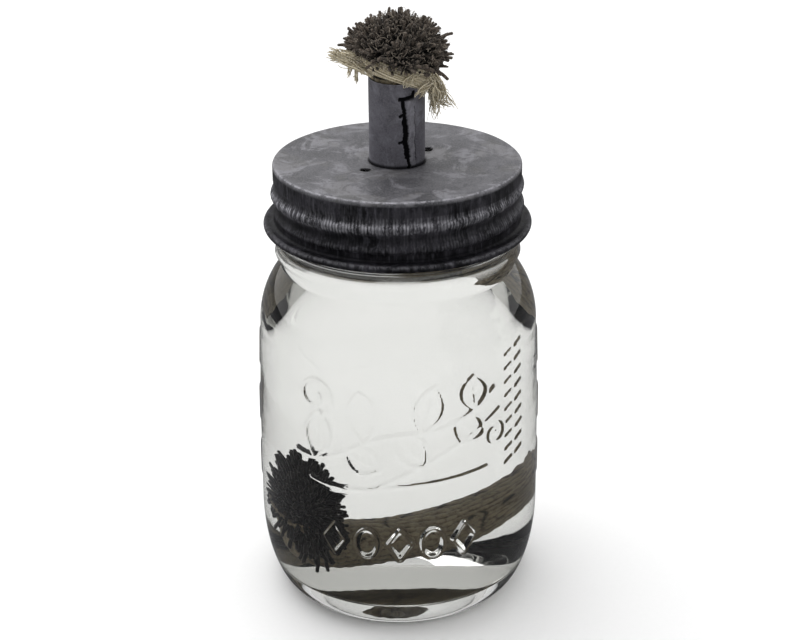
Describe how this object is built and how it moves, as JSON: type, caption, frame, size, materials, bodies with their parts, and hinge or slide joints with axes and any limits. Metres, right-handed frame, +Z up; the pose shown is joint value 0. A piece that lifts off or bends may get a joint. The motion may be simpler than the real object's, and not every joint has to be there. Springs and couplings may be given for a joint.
{
  "type": "mason jar lantern",
  "caption": "Clear glass preserving jar of lamp oil with an aged screw lid, an upright metal wick tube and a braided wick that ends in a frayed mop.",
  "frame": {"origin": "centre of the jar's base ring, in the plane it stands on", "axes": "+Z up along the axis shared by jar, lid, tube and mop; -Y is the side whose shoulder faces a viewer who sees the wick hang down the right-hand side (+X)"},
  "size_m": [0.0812, 0.0812, 0.171],
  "materials": {
    "clear_glass": "gloss",
    "lamp_oil": "gloss",
    "aged_zinc": "satin",
    "tube_zinc": "satin",
    "soldered_ferrule": "satin",
    "seal_rubber": "matte",
    "wick_yarn": "matte",
    "wick_braid": "matte",
    "frayed_cotton": "matte",
    "wet_yarn": "matte"
  },
  "bodies": {
    "jar": {"glass_jar": "clear_glass", "lamp_oil": "lamp_oil", "wick_core_lower": "wick_yarn", "wick_jacket_lower": "wick_braid", "wick_tail": "wet_yarn"},
    "seal": {"sealing_ring": "seal_rubber"},
    "lid": {"screw_lid": "aged_zinc", "wick_tube": "tube_zinc", "tube_collar": "soldered_ferrule"},
    "wick": {"wick_core_upper": "wick_yarn", "wick_jacket_upper": "wick_braid", "wick_mop": "wick_yarn", "jacket_fray": "frayed_cotton"}
  },
  "joints": [
    {"name": "lid_rise", "type": "slide", "parent": "jar", "child": "seal", "axis": [0, 0, 1], "range_m": [0, 0.0064]},
    {"name": "lid_turn", "type": "hinge", "parent": "seal", "child": "lid", "pos_m": [0, 0, 0.12], "axis": [0, 0, 1], "range_deg": [0, 360]},
    {"name": "wick_feed", "type": "slide", "parent": "lid", "child": "wick", "axis": [0, 0, 1], "range_m": [0, 0.015]}
  ],
  "couplings": [
    {"joint": "lid_rise", "follows": "lid_turn", "m_per_rad": 0.0010106}
  ]
}
